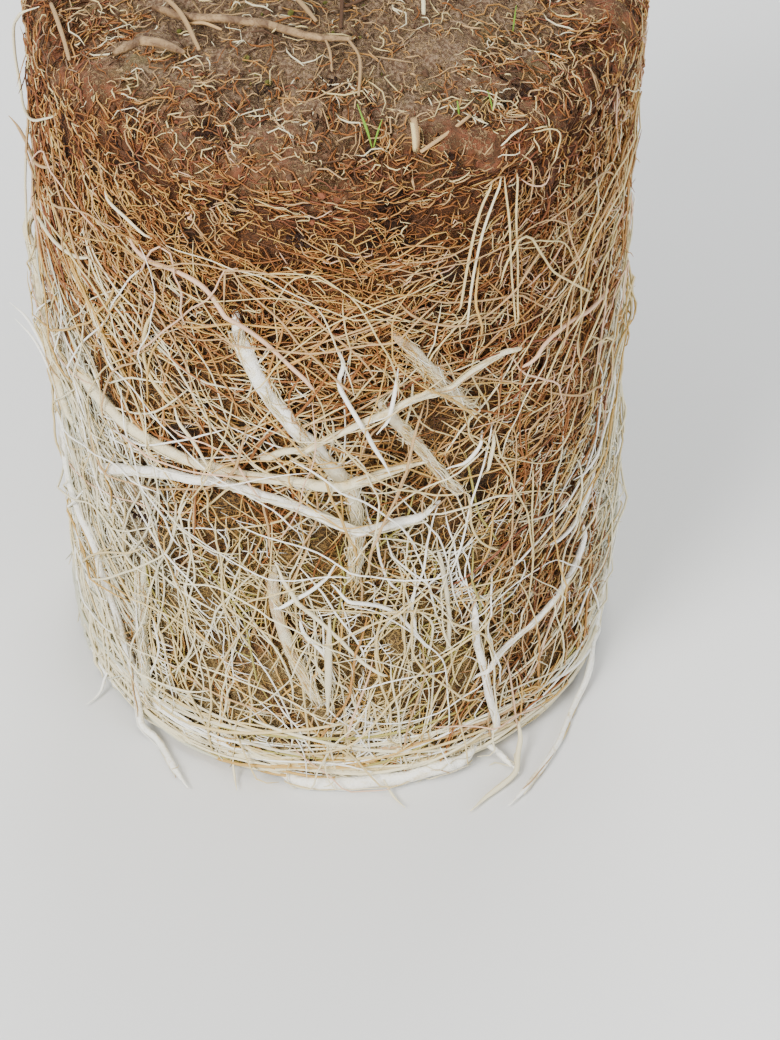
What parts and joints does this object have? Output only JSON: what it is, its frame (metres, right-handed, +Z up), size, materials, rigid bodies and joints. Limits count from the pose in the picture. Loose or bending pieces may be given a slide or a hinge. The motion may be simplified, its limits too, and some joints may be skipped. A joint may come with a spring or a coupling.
{
  "type": "sapling with root ball",
  "caption": "Young broadleaf tree out of its container: slim trunk, boughs and foliage over a tall cylindrical root ball wrapped in its own pale roots.",
  "frame": {"origin": "middle of the flat underside of the root ball, which the plant stands on", "axes": "+Z up along the trunk; -Y towards the viewer of the picture; +X to the viewer's right"},
  "size_m": [0.8038, 0.9388, 2.0801],
  "materials": {
    "root_mat": "matted fine roots over soil",
    "root": "smooth pale root bark",
    "dry_stem": "dry weathered stem",
    "bark": "young grey-brown bark",
    "foliage": "satin green leaves"
  },
  "bodies": {
    "root": {"bough_1": "bark", "bough_2": "bark", "bough_3": "bark", "bough_4": "bark", "bough_5": "bark", "bough_6": "bark", "bough_7": "bark", "dry_stem_on_soil": "dry_stem", "dry_stub_on_soil": "dry_stem", "foliage_1": "foliage", "foliage_2": "foliage", "foliage_3": "foliage", "foliage_4": "foliage", "foliage_5": "foliage", "foliage_6": "foliage", "foliage_7": "foliage", "foliage_top": "foliage", "root_back_1": "root", "root_back_2": "root", "root_back_3": "root", "root_back_4": "root", "root_back_5": "root", "root_back_6": "root", "root_ball": "root_mat", "root_base_ring": "root", "root_buried_beige": "root", "root_left_long": "root", "root_left_pale": "root", "root_long_crossing": "root", "root_lower_beige": "root", "root_lower_swag": "root", "root_right_hanging": "root", "root_right_long": "root", "root_thick_beige": "root", "root_upper_swag": "root", "root_white_diagonal": "root", "trunk": "bark"}
  },
  "joints": []
}
